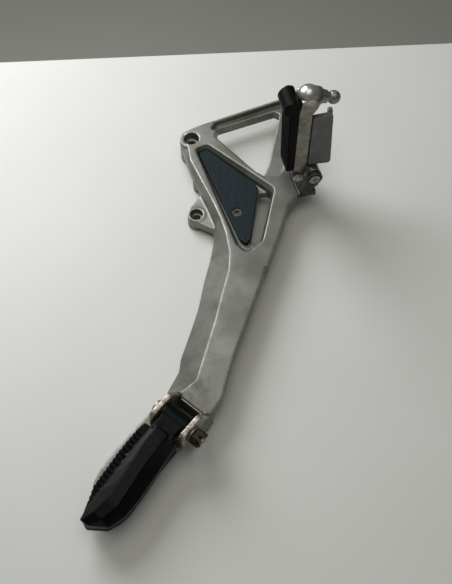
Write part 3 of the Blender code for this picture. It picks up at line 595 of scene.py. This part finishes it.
# Moulded black natural rubber: matt, faint grey bloom, fine skin texture
def blackRubber():
    made, tree, shader, place = startMaterial("blackRubber")
    cloud = grain(tree, place, 8, 6, 0.7)
    base = addNode(
        tree, "ShaderNodeMix",
        {
            0: addNode(tree, "ShaderNodeValToRGB", {"Fac": cloud}, stops=[(0.45, 0.0), (0.75, 1.0)]),
            6: "#020203", 7: "#060607",
        },
        output=2, data_type="RGBA",
    )
    setShader(
        tree, shader, Base_Color=base, Metallic=0.0, IOR=1.5, Specular_IOR_Level=0.1,
        Roughness=addNode(
            tree, "ShaderNodeMath",
            {0: addNode(tree, "ShaderNodeMath", {0: cloud, 1: 0.3}, operation="MULTIPLY"), 1: 0.38},
            operation="ADD",
        ),
    )
    setShader(
        tree, shader,
        Normal=addNode(
            tree, "ShaderNodeBump",
            {"Height": grain(tree, place, 0.5, 3, 0.6), "Distance": 0.04 * mm, "Strength": 1.0},
        ),
    )
    return made


# Moulded slate-blue rubber heel pad: matt with a dry pale film on its raised marks
def slateRubber():
    made, tree, shader, place = startMaterial("slateRubber")
    cloud = grain(tree, place, 10, 6, 0.7)
    base = addNode(
        tree, "ShaderNodeMix",
        {
            0: addNode(tree, "ShaderNodeValToRGB", {"Fac": cloud}, stops=[(0.4, 0.0), (0.72, 1.0)]),
            6: "#0d1214", 7: "#151a1c",
        },
        output=2, data_type="RGBA",
    )
    height = addNode(tree, "ShaderNodeSeparateXYZ", {0: place}, output="Z")
    raised = addNode(
        tree, "ShaderNodeMapRange", {"Value": height, "From Min": 20.95 * mm, "From Max": 21.3 * mm},
    )
    base = addNode(
        tree, "ShaderNodeMix",
        {
            0: addNode(tree, "ShaderNodeMath", {0: raised, 1: 0.6}, operation="MULTIPLY"), 6: base,
            7: "#333d41",
        },
        output=2, data_type="RGBA",
    )
    setShader(
        tree, shader, Base_Color=base, Metallic=0.0, IOR=1.5, Specular_IOR_Level=0.07,
        Roughness=addNode(
            tree, "ShaderNodeMath",
            {0: addNode(tree, "ShaderNodeMath", {0: cloud, 1: 0.3}, operation="MULTIPLY"), 1: 0.42},
            operation="ADD",
        ),
    )
    setShader(
        tree, shader,
        Normal=addNode(
            tree, "ShaderNodeBump",
            {"Height": grain(tree, place, 0.5, 3, 0.6), "Distance": 0.04 * mm, "Strength": 1.0},
        ),
    )
    return made


finishes = {
    "cast_alloy": lacqueredCastAlloy(),
    "bare_alloy": bareCastAlloy(),
    "dark_steel": weatheredSteel(),
    "zinc_steel": zincPlatedSteel(),
    "rusty_steel": rustedSteel(),
    "black_alloy": blackEnamel(),
    "grey_steel": greyPaint(),
    "black_rubber": blackRubber(),
    "slate_rubber": slateRubber(),
}
print("materials ready")


# Softened copies of the rigid parts

# Voxel size and smoothing in millimetres and passes; keep is the share of triangles left after thinning
softeningSettings = {
    "bracket_casting": {"voxel": 0.75, "passes": 7, "keep": 0.32, "finish": "cast_alloy"},
    "rider_clevis": {"voxel": 0.4, "passes": 4, "keep": 0.6, "finish": "dark_steel"},
    "rider_peg_bar": {"voxel": 0.5, "passes": 5, "keep": 0.6, "finish": "bare_alloy"},
    "rider_peg_weight": {"voxel": 0.5, "passes": 4, "keep": 0.4, "finish": "grey_steel"},
    "pillion_peg_bar": {"voxel": 0.6, "passes": 6, "keep": 0.6, "finish": "black_alloy"},
    "feeler_bolt": {"voxel": 0.3, "passes": 3, "keep": 0.5, "finish": "zinc_steel"},
    "feeler_lock_nut": {"voxel": 0.3, "passes": 3, "keep": 0.5, "finish": "zinc_steel"},
    "pillion_castle_nut": {"voxel": 0.3, "passes": 3, "keep": 0.5, "finish": "rusty_steel"},
}
bodies = frame["record"]["behaviour"]["bodies"]
bodyOfNode = {node: body for body, nodes in bodies.items() for node in nodes}


def mergedCopy(nodeName):
    mesh = frame["nodes"][nodeName].data.copy()
    mesh.materials.clear()
    work = bmesh.new()
    work.from_mesh(mesh)
    bmesh.ops.remove_doubles(work, verts=work.verts, dist=0.002 * mm)
    work.to_mesh(mesh)
    work.free()
    return mesh


def bakeModifiers(piece):
    graph = bpy.context.evaluated_depsgraph_get()
    made = bpy.data.meshes.new_from_object(piece.evaluated_get(graph))
    piece.modifiers.clear()
    piece.data = made
    piece.data.shade_smooth()


def linkPiece(name, mesh, finish, body, nodes=()):
    piece = bpy.data.objects.new(name, mesh)
    bpy.context.scene.collection.objects.link(piece)
    mesh.materials.clear()
    mesh.materials.append(finishes[finish])
    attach(piece, body)
    if nodes:
        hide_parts(*nodes)
    return piece


def softenedCopy(nodeName):
    s = softeningSettings[nodeName]
    words = nodeName.split("_")
    name = words[0] + "".join(word.capitalize() for word in words[1:]) + "Skin"
    piece = linkPiece(name, mergedCopy(nodeName), s["finish"], bodyOfNode[nodeName], [nodeName])
    grid = piece.modifiers.new("rounding grid", "REMESH")
    grid.mode = "VOXEL"
    grid.voxel_size = s["voxel"] * mm * 1.0
    soften = piece.modifiers.new("soft edges", "SMOOTH")
    soften.factor = 0.5
    soften.iterations = s["passes"]
    thin = piece.modifiers.new("thinning", "DECIMATE")
    thin.ratio = s["keep"]
    bakeModifiers(piece)
    print("softened", nodeName, len(piece.data.polygons), "faces")
    return piece


for nodeName in softeningSettings:
    softenedCopy(nodeName)

# Surfaces worked out in numpy

riderFrame = {"pin": (108.0, -7.0, 45.0), "heading": 14.0}
pillionFrame = {"pin": (-9.2, -255.9, 34.0), "heading": -39.0}


# Turns local points by the heading h about Z, then moves them to the pin:
# x' = x cos h - y sin h, y' = x sin h + y cos h
def placedIn(turned, points):
    angle = math.radians(turned["heading"])
    turn = np.array(
        [[math.cos(angle), math.sin(angle), 0], [-math.sin(angle), math.cos(angle), 0], [0, 0, 1]],
    )
    return points @ turn + np.array(turned["pin"])


# Points at even spacing along a closed outline, found by interpolating over its summed edge lengths
def evenOutline(corners, count):
    loop = np.vstack([corners, corners[:1]])
    travelled = np.concatenate([[0], np.cumsum(np.linalg.norm(np.diff(loop, axis=0), axis=1))])
    wanted = np.linspace(0, travelled[-1], count, endpoint=False)
    return np.stack([np.interp(wanted, travelled, loop[:, k]) for k in range(loop.shape[1])], axis=1)


# Softens a closed outline: each pass moves every point a quarter of the way to each neighbour
def softened(loop, passes):
    for _ in range(passes):
        loop = 0.5 * loop + 0.25 * (np.roll(loop, 1, axis=0) + np.roll(loop, -1, axis=0))
    return loop


# A closed skin over rings, shape (rings, points, 3) in millimetres, with a fan to the middle of
# each end ring
def ringMesh(name, rings):
    rows, count, _ = rings.shape
    ends = [rings[0].mean(axis=0), rings[-1].mean(axis=0)]
    points = np.vstack([rings.reshape(-1, 3), ends]) * mm
    here = np.arange(count)
    after = (here + 1) % count
    base = (np.arange(rows - 1) * count)[:, None]
    quads = np.stack([base + here, base + after, base + count + after, base + count + here], axis=-1).reshape(
        -1, 4,
    )
    last = (rows - 1) * count
    fans = np.vstack([np.stack([np.full(count, rows * count), after, here], axis=1),
                      np.stack([np.full(count, rows * count + 1), last + here, last + after], axis=1)])
    return skinMesh(name, points, quads.tolist() + fans.tolist())


def skinMesh(name, points, faces):
    mesh = bpy.data.meshes.new(name)
    mesh.from_pydata(points.tolist(), [], faces)
    work = bmesh.new()
    work.from_mesh(mesh)
    bmesh.ops.recalc_face_normals(work, faces=work.faces)
    work.to_mesh(mesh)
    work.free()
    mesh.shade_smooth()
    return mesh


# A round tube along a path: each ring is the path point plus radius times cosine and sine of two unit
# vectors square to the path, taken from its direction and a fixed guide vector
def tubeRings(path, radius, guide, sides=14):
    ahead = np.gradient(path, axis=0)
    ahead /= np.linalg.norm(ahead, axis=1)[:, None]
    side = np.cross(ahead, np.array(guide, float))
    side /= np.linalg.norm(side, axis=1)[:, None]
    up = np.cross(side, ahead)
    turn = np.linspace(0, 2 * np.pi, sides, endpoint=False)
    radius = np.broadcast_to(radius, len(path))[:, None, None]
    return (path[:, None] + radius * (side[:, None] * np.cos(turn)[None, :, None]
                                      + up[:, None] * np.sin(turn)[None, :, None]))


# Heel pad: rows across the pad, each running from its left to its right edge. The top is the pad's height,
# less a quarter-round at the rim, plus a bell-shaped ridge around each ring's radius, less the screw recess
padSettings = {
    "floor": 19.8, "top": 24.3, "rim": 1.1, "rows": 300, "columns": 130,
    "ringRadius": 1.95, "ringWidth": 0.42, "ringHeight": 0.42, "pitch": 8.0,
    "screwAt": (41.0, -45.5), "recess": 4.85, "recessFloor": 21.3, "nubAt": (47.6, -74.5),
}


def heelPadMesh():
    s = padSettings
    y = 29.4 - 109.1 * (0.5 - 0.5 * np.cos(np.pi * np.linspace(0.004, 0.996, s["rows"])))
    left = np.interp(
        -y, [-29.4, -28.4, -26.0, -23.5, 72.5, 76.5, 79.7], [11.4, 8.4, 4.9, 4.7, 41.9, 44.0, 47.6],
    )
    right = np.interp(
        -y, [-29.4, -28.0, 12.5, 16.5, 21.0, 71.0, 75.5, 79.7],
        [12.8, 14.6, 58.4, 60.9, 60.8, 53.9, 52.9, 49.4],
    )
    across = 0.5 - 0.5 * np.cos(np.pi * np.linspace(0, 1, s["columns"]))
    x = left[:, None] + (right - left)[:, None] * across[None, :]
    y = np.broadcast_to(y[:, None], x.shape)
    inward = np.minimum(
        np.minimum(x - left[:, None], right[:, None] - x) * 0.85, np.minimum(29.6 - y, y + 79.9),
    )
    rim = np.clip(1 - inward / s["rim"], 0, 1)
    z = s["top"] - s["rim"] * (1 - np.sqrt(1 - rim ** 2))
    for row in range(7):
        level = 15.0 - row * s["pitch"]
        first = 4 + (25.5 - level) * 39 / 101
        final = 12.5 + (29.5 - level) * 49 / 45.5 if level > -16 else 61.5 + (level + 16) * 8 / 58
        count = int((final - first - 8.4) / s["pitch"]) + 1
        middles = (first + final - (count - 1) * s["pitch"]) / 2 + np.arange(count) * s["pitch"]
        keep = np.hypot(middles - s["screwAt"][0], level - s["screwAt"][1]) > 8.7
        away = np.hypot(x[..., None] - middles[keep], (y[..., None] - level) * 0.9)
        z = z + s["ringHeight"] * np.exp(-((away - s["ringRadius"]) / s["ringWidth"]) ** 2).sum(axis=-1)
    z = z + 0.7 * np.exp(-(np.hypot(x - s["nubAt"][0], y - s["nubAt"][1]) / 1.3) ** 2)
    reach = np.hypot(x - s["screwAt"][0], y - s["screwAt"][1])
    lip = np.clip((s["recess"] + 0.35 - reach) / 0.7, 0, 1)
    z = z - (z - s["recessFloor"]) * lip * lip * (3 - 2 * lip)
    top = np.stack([x, y, z], axis=-1)
    under = np.stack([x, y, np.full_like(x, s["floor"])], axis=-1)
    size = x.size
    points = np.vstack([top.reshape(-1, 3), under.reshape(-1, 3)]) * mm
    index = np.arange(size).reshape(x.shape)
    cells = np.stack([index[:-1, :-1], index[:-1, 1:], index[1:, 1:], index[1:, :-1]], axis=-1).reshape(
        -1, 4,
    )
    border = np.concatenate([index[0, :-1], index[:-1, -1], index[-1, :0:-1], index[:0:-1, 0]])
    following = np.roll(border, -1)
    wall = np.stack([border, following, following + size, border + size], axis=1)
    return skinMesh(
        "heelPadSurface", points, cells.tolist() + wall.tolist() + [(border + size)[::-1].tolist()],
    )


linkPiece("heelPadSurface", heelPadMesh(), "slate_rubber", "bracket", ["heel_pad"])

# Rider's rubber: a rounded rectangle carried up the peg. Its outer side leans out in a straight line, then
# swells as a circle at the tip; five valleys, each a bell curve across the width, run along the outer side
riderRubberSettings = {
    "inner": -18.8, "outer": -25.8, "lean": 2.0, "start": 10.0, "neck": 78.0, "bulgeAt": (-24.3, 89.5),
    "bulge": 8.5, "halfWidth": 11.0, "valleys": (-7.6, -3.8, 0.0, 3.8, 7.6), "valleyDepth": 1.3,
    "valleyWidth": 0.75,
}


def riderRubberMesh():
    s = riderRubberSettings
    corners = np.array([(0, -1), (0, 1), (0.35, 1), (0.8, 1), (1, 0.93), (1, -0.93), (0.8, -1), (0.35, -1)])
    box = softened(evenOutline(corners, 260), 10)
    bulgeX, bulgeZ = s["bulgeAt"]
    z = np.concatenate(
        [np.linspace(s["start"], 80, 110), bulgeZ + 8.42 * np.sin(np.linspace(-1.13, 1.53, 60))],
    )
    z = np.sort(z)
    rise = np.sqrt(np.clip(s["bulge"] ** 2 - (z - bulgeZ) ** 2, 0, None))
    straight = s["outer"] - s["lean"] * (z - s["start"]) / (s["neck"] - s["start"])
    swollen = np.where(z > 79.5, bulgeX - rise, 0)
    outer = np.where(z > bulgeZ, bulgeX - rise, np.minimum(straight, swollen))
    passes = np.ones(15) / 15
    padded = np.concatenate([np.full(7, outer[0]), outer, np.full(7, outer[-1])])
    outer = np.where(z < bulgeZ - 1, np.convolve(padded, passes, "valid"), outer)
    inner = np.minimum(s["inner"], bulgeX + np.where(z > 90, rise, 99))
    fade = np.clip((z - s["start"] - 3) / 3, 0, 1) * np.clip((79 - z) / 5, 0, 1)
    narrow = 1 - 0.10 * np.clip((s["start"] + 4 - z) / 4, 0, 1)
    y = s["halfWidth"] * box[None, :, 1] * narrow[:, None]
    x = inner[:, None] + (outer - inner)[:, None] * box[:, 0]
    valley = np.exp(-((y[..., None] - np.array(s["valleys"])) / s["valleyWidth"]) ** 2).sum(axis=-1)
    x = x + s["valleyDepth"] * valley * (box[:, 0] > 0.9) * fade[:, None]
    rings = np.stack([x, y, np.broadcast_to(z[:, None], x.shape)], axis=-1)
    return ringMesh("riderRubberSurface", placedIn(riderFrame, rings))


linkPiece("riderRubberSurface", riderRubberMesh(), "black_rubber", "rider_peg", ["rider_peg_rubber"])

# Passenger's rubber: the outline of the tread drawn in towards its middle line above and below, with
# quarter-round rims. Fine cross ribs, a raised cosine of the distance along, show on its free left margin
pillionRubberSettings = {
    "outline": [
        (-20.5, -14.2), (12.5, -14.2), (13.2, -35), (16, -54), (18, -76), (16.8, -84), (13, -95),
        (-1, -105), (-6.5, -101), (-16.5, -78), (-20.5, -46), (-21.5, -24),
    ],
    "low": -21.0, "high": -7.0, "rim": 1.6, "ribPitch": 4.2, "ribDepth": 0.9,
    "neckClear": (-18.2, -13.4),
}


def pillionRubberMesh():
    s = pillionRubberSettings
    loop = softened(evenOutline(np.array(s["outline"], float), 900), 60)
    middle = np.stack(
        [np.interp(loop[:, 1], [-105, -80, -14], [-3.0, 2.0, -3.0]), np.clip(loop[:, 1], -99, -18)],
        axis=1,
    )
    corner = np.linspace(0, np.pi / 2, 7)
    inset = np.concatenate([[1, 0.7, 0.4, 0.2], 0.09 * (1 - np.sin(corner)), 0.09 * (1 - np.cos(corner)),
                            [0.16, 0.24, 0.32, 0.42, 0.6, 0.8, 1]])
    level = np.concatenate([[s["low"]] * 4, s["low"] + s["rim"] * (1 - np.cos(corner)),
                            s["high"] - s["rim"] * (1 - np.sin(corner)), [s["high"]] * 7])
    share = inset[:, None, None]
    flat = loop[None] * (1 - share * 0.999) + middle[None] * share * 0.999
    z = np.broadcast_to(level[:, None], flat.shape[:2]).copy()
    ribs = (0.5 + 0.5 * np.cos(2 * np.pi * flat[..., 1] / s["ribPitch"])) ** 3
    margin = (
        np.clip((-9.5 - flat[..., 0]) / 3, 0, 1) * np.clip((-20 - flat[..., 1]) / 4, 0, 1)
        * np.clip((flat[..., 1] + 101) / 4, 0, 1)
    )
    upper = np.clip((level + 12) / 3, 0, 1)[:, None]
    z -= s["ribDepth"] * ribs * margin * upper
    flat = flat + np.stack([0.5 * ribs * margin * upper, 0 * ribs], axis=-1)
    return ringMesh(
        "pillionRubberSurface", placedIn(pillionFrame, np.concatenate([flat, z[..., None]], axis=-1)),
    )


linkPiece(
    "pillionRubberSurface", pillionRubberMesh(), "black_rubber", "pillion_peg", ["pillion_peg_rubber"],
)

# Serrated strip along the peg's left edge: a thin ribbon whose free edge steps out in seven saw teeth,
# each a straight ramp over its length with a sudden return
serrationSettings = {"from": -29.0, "to": -86.0, "teeth": 7, "reach": 1.7, "low": -6.4, "high": -2.6}


def serrationMesh():
    s = serrationSettings
    along = np.linspace(0, 1, 281)
    y = s["from"] + (s["to"] - s["from"]) * along
    edge = np.interp(-y, [15, 29, 47, 65, 81, 95], [-13.0, -12.8, -11.3, -9.5, -8.5, -7.0])
    saw = (along * s["teeth"]) % 1.0
    outer = edge - 0.3 - s["reach"] * saw * np.clip((1 - saw) / 0.06, 0, 1)
    inner = edge + 1.2
    slim = s["high"] - 0.9
    ring = np.stack(
        [
            np.stack([inner, y, 0 * y + s["low"]], axis=-1),
            np.stack([outer, y, 0 * y + s["low"]], axis=-1),
            np.stack([outer, y, 0 * y + slim - 1.6], axis=-1),
            np.stack([outer + 0.5, y, 0 * y + slim - 0.6], axis=-1),
            np.stack([inner, y, 0 * y + s["high"]], axis=-1),
        ],
        axis=1,
    )
    return ringMesh("pillionSerration", placedIn(pillionFrame, ring))


linkPiece("pillionSerration", serrationMesh(), "black_alloy", "pillion_peg")
bpy.data.objects["pillionSerration"].data.shade_flat()

# Return spring: a wire along a helix about the pin, radius times cosine and sine with a steady climb,
# and a straight leg tangent to each end
springSettings = {
    "radius": 6.0, "wire": 0.75, "turns": 3.25, "start": 5.25, "climb": 1.67, "legs": (9.0, 4.5),
}


def springMesh():
    s = springSettings
    turn = np.linspace(0, 2 * np.pi * s["turns"], 220)
    path = np.stack(
        [
            s["radius"] * np.cos(turn), s["start"] + s["climb"] * turn / (2 * np.pi),
            s["radius"] * np.sin(turn),
        ],
        axis=1,
    )
    first = (path[0] - path[1]) / np.linalg.norm(path[0] - path[1])
    final = (path[-1] - path[-2]) / np.linalg.norm(path[-1] - path[-2])
    path = np.vstack([path[0] + first * s["legs"][0], path, path[-1] + final * s["legs"][1]])
    return ringMesh("returnSpring", placedIn(riderFrame, tubeRings(path, s["wire"], (0, 1, 0))))


linkPiece("returnSpring", springMesh(), "rusty_steel", "bracket", ["rider_return_spring"])

# Split pin: a wire up through the nut, round an eye of one loop, and down again with its tails spread
splitPinSettings = {"wire": 0.55, "at": 26.0, "eye": 1.7, "half": 8.4}


def splitPinMesh():
    s = splitPinSettings
    down = np.linspace(0, 1, 30)
    leg = np.stack(
        [
            s["at"] + 0.6 + 0 * down, 1.8 * np.clip((0.25 - down) / 0.25, 0, 1),
            -9.0 + (s["half"] + 8.0) * down,
        ],
        axis=1,
    )
    turn = np.linspace(-0.25 * np.pi, 1.25 * np.pi, 40)
    eye = np.stack([s["at"] + s["eye"] * np.cos(turn), 0 * turn, 9.4 + s["eye"] * np.sin(turn)], axis=1)
    back = np.stack(
        [s["at"] - 0.6 + 0 * down, -2.4 * np.clip((down - 0.78) / 0.22, 0, 1), 7.4 - 16.0 * down],
        axis=1,
    )
    path = np.vstack([leg, eye, back])
    return ringMesh("splitPin", placedIn(pillionFrame, tubeRings(path, s["wire"], (0.2, 1, 0.1))))


linkPiece("splitPin", splitPinMesh(), "rusty_steel", "bracket", ["pillion_split_pin"])
print("numpy pieces made")

# Carried parts keep their CAD shape, with a small bevel and their own finish

carriedFinish = {
    "heel_pad_screw": "dark_steel", "rider_clevis_bolt": "zinc_steel", "rider_pivot_pin": "zinc_steel",
    "rider_pin_washer": "zinc_steel", "rider_pin_clip": "rusty_steel", "rubber_stud_1": "zinc_steel",
    "rubber_stud_2": "zinc_steel", "weight_bolt_1": "zinc_steel", "weight_bolt_2": "zinc_steel",
    "pillion_rubber_screw_1": "zinc_steel", "pillion_rubber_screw_2": "zinc_steel",
    "pillion_pivot_bolt": "zinc_steel", "pillion_pivot_washer": "zinc_steel",
    "pillion_detent_plate": "dark_steel",
}
for nodeName, finish in carriedFinish.items():
    part = frame["nodes"][nodeName]
    part.data.materials.clear()
    part.data.materials.append(finishes[finish])
    weld = part.modifiers.new("weld", "WELD")
    weld.merge_threshold = 0.002 * mm
    bevel = part.modifiers.new("broken edges", "BEVEL")
    bevel.width = 0.25 * mm
    bevel.segments = 2
    bevel.limit_method = "ANGLE"
    bevel.angle_limit = math.radians(40)
print("carried parts finished")

# Table top, lower floor, lights and camera

cameraSettings = {"at": (30.6, -514.4, 661.2), "aim": (30.6, -129.2, 20.0), "lens": 52.4}
roomSettings = {"edgeLeft": (-2400.0, 42.0), "edgeRight": (2400.0, 329.0), "near": -2400.0, "drop": 420.0,
                "table": "#e3e4df", "beyond": "#a5a49b"}


def paintedRoom(name, colour, roughness):
    made, tree, shader, place = startMaterial(name)
    cloud = grain(tree, place, 160, 3, 0.5)
    base = addNode(
        tree, "ShaderNodeMix",
        {
            0: addNode(tree, "ShaderNodeValToRGB", {"Fac": cloud}, stops=[(0.3, 0.0), (0.7, 0.12)]),
            6: colour, 7: "#b9b8b0",
        },
        output=2, data_type="RGBA",
    )
    setShader(tree, shader, Base_Color=base, Roughness=roughness, IOR=1.5)
    return made


def addStage(name, corners, material):
    mesh = bpy.data.meshes.new(name)
    mesh.from_pydata([[v * mm for v in corner] for corner in corners], [], [(0, 1, 2, 3)])
    mesh.materials.append(material)
    piece = bpy.data.objects.new(name, mesh)
    bpy.context.scene.collection.objects.link(piece)


s = roomSettings
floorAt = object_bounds()[0].z / mm - 0.05
low = floorAt - s["drop"]
(leftX, leftY), (rightX, rightY) = s["edgeLeft"], s["edgeRight"]
addStage("tableTop", [(leftX, s["near"], floorAt), (rightX, s["near"], floorAt), (rightX, rightY, floorAt),
                      (leftX, leftY, floorAt)], paintedRoom("matteTableTop", s["table"], 0.5))
addStage("floorBeyond", [(leftX, s["near"], low), (rightX, s["near"], low), (rightX, -s["near"], low),
                         (leftX, -s["near"], low)], paintedRoom("paintedFloor", s["beyond"], 0.7))


def addAreaLight(name, at, aim, size, power, colour):
    data = bpy.data.lights.new(name, "AREA")
    data.shape = "RECTANGLE"
    data.size, data.size_y = size[0] * mm, size[1] * mm
    data.energy = power
    data.color = linearColour(colour)[:3]
    lamp = bpy.data.objects.new(name, data)
    bpy.context.scene.collection.objects.link(lamp)
    lamp.location = Vector(at) * mm
    lamp.rotation_mode = "QUATERNION"
    lamp.rotation_quaternion = (Vector(aim) - Vector(at)).to_track_quat("-Z", "Y")


addAreaLight("windowBackLeft", (-430, 400, 620), (-20, -80, 0), (620, 620), 6.6, "#fbfcff")
addAreaLight("ceilingSoft", (60, -260, 1500), (20, -130, 0), (1100, 900), 5.0, "#fff9ee")

world = bpy.data.worlds.new("softRoom")
world.use_nodes = True
world.node_tree.nodes["Background"].inputs["Color"].default_value = linearColour("#c9cdcf")
world.node_tree.nodes["Background"].inputs["Strength"].default_value = 0.2
bpy.context.scene.world = world

lens = bpy.data.cameras.new("productCamera")
lens.lens = cameraSettings["lens"]
lens.sensor_width = 36
lens.sensor_fit = "AUTO"
lens.clip_start, lens.clip_end = 0.01, 20
camera = bpy.data.objects.new("productCamera", lens)
bpy.context.scene.collection.objects.link(camera)
camera.location = Vector(cameraSettings["at"]) * mm
camera.rotation_mode = "QUATERNION"
camera.rotation_quaternion = (Vector(cameraSettings["aim"]) - Vector(cameraSettings["at"])).to_track_quat(
    "-Z", "Y",
)
bpy.context.scene.camera = camera
bpy.context.scene.view_settings.view_transform = "Standard"
print("stage and camera ready")
